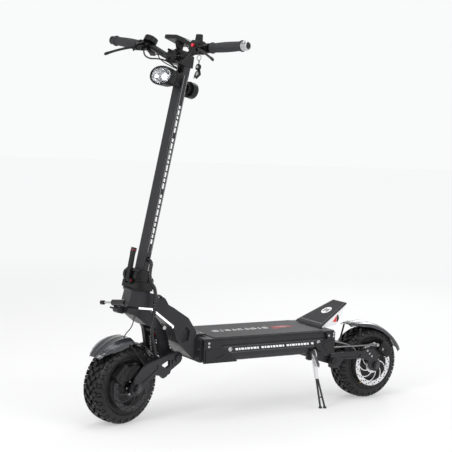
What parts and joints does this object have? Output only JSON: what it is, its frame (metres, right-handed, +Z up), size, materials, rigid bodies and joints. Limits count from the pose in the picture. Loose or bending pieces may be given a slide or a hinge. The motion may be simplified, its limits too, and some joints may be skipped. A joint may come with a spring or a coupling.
{
  "type": "electric kick scooter",
  "caption": "Electric kick scooter with sprung swingarms, hub-motor wheels, a wide deck with a rear footrest, a folding stem, disc brakes, a headlight and a side kickstand.",
  "frame": {"origin": "on the ground, under the middle of the scooter's outline", "axes": "+X towards the front wheel, +Y to the rider's left, +Z up; the bars are turned 15.7 degrees to the left"},
  "size_m": [1.3961, 0.659, 1.362],
  "materials": {
    "painted_black": "satin powder coat",
    "satin_alloy": "machined",
    "bright_steel": "brushed",
    "spring_steel": "gloss black coil",
    "tyre": "matt",
    "black_plastic": "textured",
    "gloss_black": "gloss",
    "grip_rubber": "ribbed",
    "clear_lens": "clear",
    "red_lens": "gloss",
    "white_light": "diffuse",
    "red_paint": "gloss",
    "battery_wrap": "shrink wrap"
  },
  "bodies": {
    "frame": {"deck_tray": "painted_black", "deck_cover": "painted_black", "deck_mat": "grip_rubber", "deck_trims": "painted_black", "frame_screws": "bright_steel", "battery_pack": "battery_wrap", "motor_controllers": "satin_alloy", "neck_and_head_tube": "painted_black", "neck_light_strips": "white_light", "head_bearings": "bright_steel", "rear_carrier": "painted_black", "rear_pivot_pins": "bright_steel", "footrest_plate": "painted_black", "footrest_side_panels": "black_plastic", "tail_lights": "red_lens", "kickstand_bracket": "bright_steel", "rear_hoses": "black_plastic"},
    "fork": {"fork": "painted_black", "fold_base": "painted_black", "front_loom": "black_plastic", "damper_body": "black_plastic"},
    "stem": {"fold_head": "painted_black", "stem_tube": "painted_black", "stem_head": "painted_black", "handlebar": "painted_black", "grips": "grip_rubber", "bar_controls": "black_plastic", "display": "gloss_black", "headlight_housing": "black_plastic", "headlight_lens": "clear_lens", "horn": "painted_black", "bar_hoses": "black_plastic"},
    "fold_lever": {"fold_lever": "painted_black"},
    "front_arm": {"front_swingarm": "painted_black", "front_axle": "bright_steel", "front_caliper": "painted_black", "front_fender": "black_plastic"},
    "front_wheel": {"front_tyre": "tyre", "front_hub": "painted_black", "front_rotor": "bright_steel"},
    "rear_arm": {"rear_swingarm": "painted_black", "rear_axle": "bright_steel", "rear_caliper": "painted_black", "rear_fender": "black_plastic"},
    "rear_wheel": {"rear_tyre": "tyre", "rear_hub": "painted_black", "rear_rotor": "bright_steel"},
    "front_shock_bodies": {"front_shock_bodies": "black_plastic"},
    "front_shock_rods": {"front_shock_rods": "bright_steel", "front_shock_springs": "spring_steel"},
    "rear_shock_body": {"rear_shock_bodies": "black_plastic"},
    "rear_shock_rod": {"rear_shock_rods": "bright_steel", "rear_shock_springs": "spring_steel"},
    "damper_rod": {"damper_rod": "bright_steel"},
    "kickstand": {"kickstand_leg": "painted_black"},
    "brake_lever_left": {"brake_lever_left": "black_plastic"},
    "brake_lever_right": {"brake_lever_right": "black_plastic"},
    "throttle_lever": {"throttle_lever": "black_plastic"},
    "red_button": {"red_button": "red_paint"},
    "keys": {"keys": "bright_steel"}
  },
  "joints": [
    {"name": "steer", "type": "hinge", "parent": "frame", "child": "fork", "pos_m": [0.59695, -0.01612, 0.00034], "axis": [-0.1874, 0, 0.9823], "range_deg": [-45.7, 14.3], "deforming": ["front_loom"]},
    {"name": "stem_fold", "type": "hinge", "parent": "fork", "child": "stem", "pos_m": [0.47605, -0.02316, 0.50055], "axis": [0.2658, -0.9627, 0.0507], "range_deg": [0, 84], "deforming": ["front_loom"]},
    {"name": "fold_lever_swing", "type": "hinge", "parent": "fork", "child": "fold_lever", "pos_m": [0.55008, -0.00246, 0.5055], "axis": [-0.2658, 0.9627, -0.0507], "range_deg": [0, 100]},
    {"name": "front_arm_swing", "type": "hinge", "parent": "fork", "child": "front_arm", "pos_m": [0.37273, -0.06616, 0.22563], "axis": [0.2658, -0.9627, 0.0507], "range_deg": [0, 7], "stiffness_Nm_per_rad": 1600, "springref_deg": -2.86, "deforming": ["front_loom"]},
    {"name": "front_wheel_spin", "type": "hinge", "parent": "front_arm", "child": "front_wheel", "pos_m": [0.55646, -0.01992, 0.14044], "axis": [-0.2658, 0.9627, -0.0507], "continuous": true},
    {"name": "rear_arm_swing", "type": "hinge", "parent": "frame", "child": "rear_arm", "pos_m": [-0.31605, -0.01612, 0.17234], "axis": [0, 1, 0], "range_deg": [0, 7], "stiffness_Nm_per_rad": 2000, "springref_deg": -2.86, "deforming": ["rear_hoses"]},
    {"name": "rear_wheel_spin", "type": "hinge", "parent": "rear_arm", "child": "rear_wheel", "pos_m": [-0.52805, -0.01612, 0.14034], "axis": [0, 1, 0], "continuous": true},
    {"name": "front_shock_swing", "type": "hinge", "parent": "fork", "child": "front_shock_bodies", "pos_m": [0.42031, -0.04831, 0.31517], "axis": [0.2658, -0.9627, 0.0507], "range_deg": [-3, 4]},
    {"name": "front_shock_stroke", "type": "slide", "parent": "front_shock_bodies", "child": "front_shock_rods", "axis": [0.1823, 0.1019, 0.9779], "range_m": [0, 0.0045], "deforming": ["front_shock_springs"]},
    {"name": "rear_shock_swing", "type": "hinge", "parent": "frame", "child": "rear_shock_body", "pos_m": [-0.29805, -0.01612, 0.25234], "axis": [0, 1, 0], "range_deg": [-3, 8]},
    {"name": "rear_shock_stroke", "type": "slide", "parent": "rear_shock_body", "child": "rear_shock_rod", "axis": [0.9498, 0, 0.3129], "range_m": [0, 0.011], "deforming": ["rear_shock_springs"]},
    {"name": "damper_stroke", "type": "slide", "parent": "fork", "child": "damper_rod", "axis": [-0.2952, 0.9469, 0.1272], "range_m": [-0.0095, 0.0292]},
    {"name": "kickstand_fold", "type": "hinge", "parent": "frame", "child": "kickstand", "pos_m": [-0.19205, 0.09588, 0.22134], "axis": [0, 1, 0], "range_deg": [0, 62]},
    {"name": "brake_lever_left_pull", "type": "hinge", "parent": "stem", "child": "brake_lever_left", "pos_m": [0.40503, 0.16551, 1.29939], "axis": [-0.1874, 0, 0.9823], "range_deg": [0, 18], "stiffness_Nm_per_rad": 0.5, "springref_deg": -11.46},
    {"name": "brake_lever_right_pull", "type": "hinge", "parent": "stem", "child": "brake_lever_right", "pos_m": [0.49009, -0.14255, 1.31561], "axis": [0.1874, 0, -0.9823], "range_deg": [0, 18], "stiffness_Nm_per_rad": 0.5, "springref_deg": -11.46},
    {"name": "throttle_press", "type": "hinge", "parent": "stem", "child": "throttle_lever", "pos_m": [0.4196, -0.1494, 1.31845], "axis": [0.2658, -0.9627, 0.0507], "range_deg": [0, 25], "stiffness_Nm_per_rad": 0.05, "springref_deg": -17.19},
    {"name": "red_button_press", "type": "slide", "parent": "stem", "child": "red_button", "axis": [-0.9456, -0.2706, -0.1804], "range_m": [0, 0.003], "stiffness_N_per_m": 300, "springref_m": -0.002},
    {"name": "keys_swing", "type": "hinge", "parent": "stem", "child": "keys", "pos_m": [0.35471, 0.08442, 1.28572], "axis": [-0.2658, 0.9627, -0.0507], "range_deg": [-25, 25]}
  ],
  "couplings": [
    {"joint": "damper_stroke", "follows": "steer", "m_per_rad": -0.036},
    {"joint": "front_shock_stroke", "follows": "front_arm_swing", "m_per_rad": 0.03182},
    {"joint": "front_shock_swing", "follows": "front_arm_swing", "ratio": 0.0687},
    {"joint": "rear_shock_stroke", "follows": "rear_arm_swing", "m_per_rad": 0.07167},
    {"joint": "rear_shock_swing", "follows": "rear_arm_swing", "ratio": 0.5324}
  ]
}
